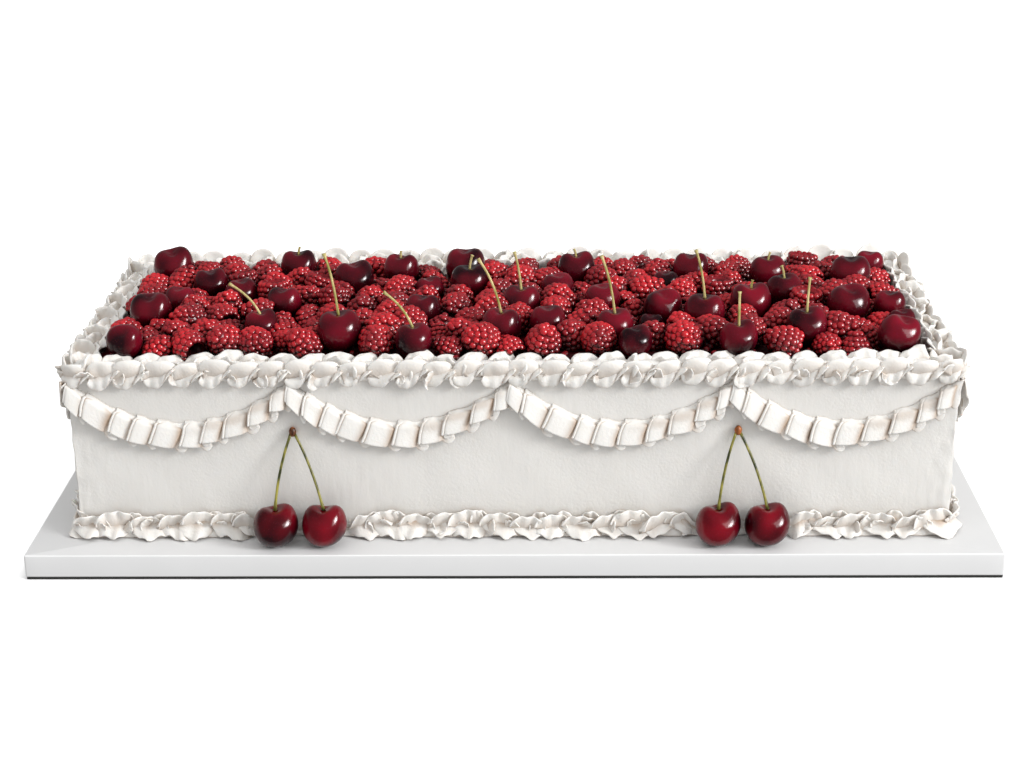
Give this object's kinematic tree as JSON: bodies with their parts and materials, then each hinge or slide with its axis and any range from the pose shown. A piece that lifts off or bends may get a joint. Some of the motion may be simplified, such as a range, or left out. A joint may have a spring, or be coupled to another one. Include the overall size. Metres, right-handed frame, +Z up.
{
  "type": "rectangular layer cake",
  "caption": "Long rectangular layer cake in white buttercream with piped borders and swags, heaped with cherries and raspberries, on a white board.",
  "frame": {"origin": "centre of the board's underside", "axes": "+X along the cake's length, +Z up, the front with the two pairs of cherries towards -Y"},
  "size_m": [0.56, 0.256, 0.1758],
  "materials": {
    "board": "white paper foil over thick board, matt",
    "frosting": "smoothed white buttercream, satin, with faint upright knife streaks",
    "piping": "piped white buttercream, satin, warm in its hollows",
    "cherry": "ripe dark cherry skin, glossy",
    "raspberry": "raspberry drupelets, moist, with fine down",
    "stem": "green cherry stalk, brown at the knot, matt"
  },
  "bodies": {
    "root": {"board": "board", "frosted_cake": "frosting", "top_border": "piping", "foot_border": "piping", "swags_front": "piping", "swags_right": "piping", "swags_back": "piping", "swags_left": "piping", "raspberries": "raspberry", "cherry_01": "cherry", "cherry_02": "cherry", "cherry_03": "cherry", "cherry_04": "cherry", "cherry_05": "cherry", "cherry_06": "cherry", "cherry_07": "cherry", "cherry_08": "cherry", "cherry_09": "cherry", "cherry_10": "cherry", "cherry_11": "cherry", "cherry_12": "cherry", "cherry_13": "cherry", "cherry_14": "cherry", "cherry_15": "cherry", "cherry_16": "cherry", "cherry_17": "cherry", "cherry_18": "cherry", "cherry_19": "cherry", "cherry_20": "cherry", "cherry_21": "cherry", "cherry_22": "cherry", "cherry_23": "cherry", "cherry_24": "cherry", "cherry_25": "cherry", "cherry_26": "cherry", "cherry_27": "cherry", "cherry_28": "cherry", "cherry_29": "cherry", "cherry_30": "cherry", "cherry_31": "cherry", "cherry_32": "cherry", "cherry_33": "cherry", "cherry_34": "cherry", "cherry_35": "cherry", "cherry_36": "cherry", "cherry_37": "cherry", "cherry_38": "cherry", "cherry_39": "cherry", "cherry_40": "cherry", "cherry_41": "cherry", "left_pair_cherry_a": "cherry", "left_pair_cherry_b": "cherry", "left_pair_stems": "stem", "right_pair_cherry_a": "cherry", "right_pair_cherry_b": "cherry", "right_pair_stems": "stem"}
  },
  "joints": []
}
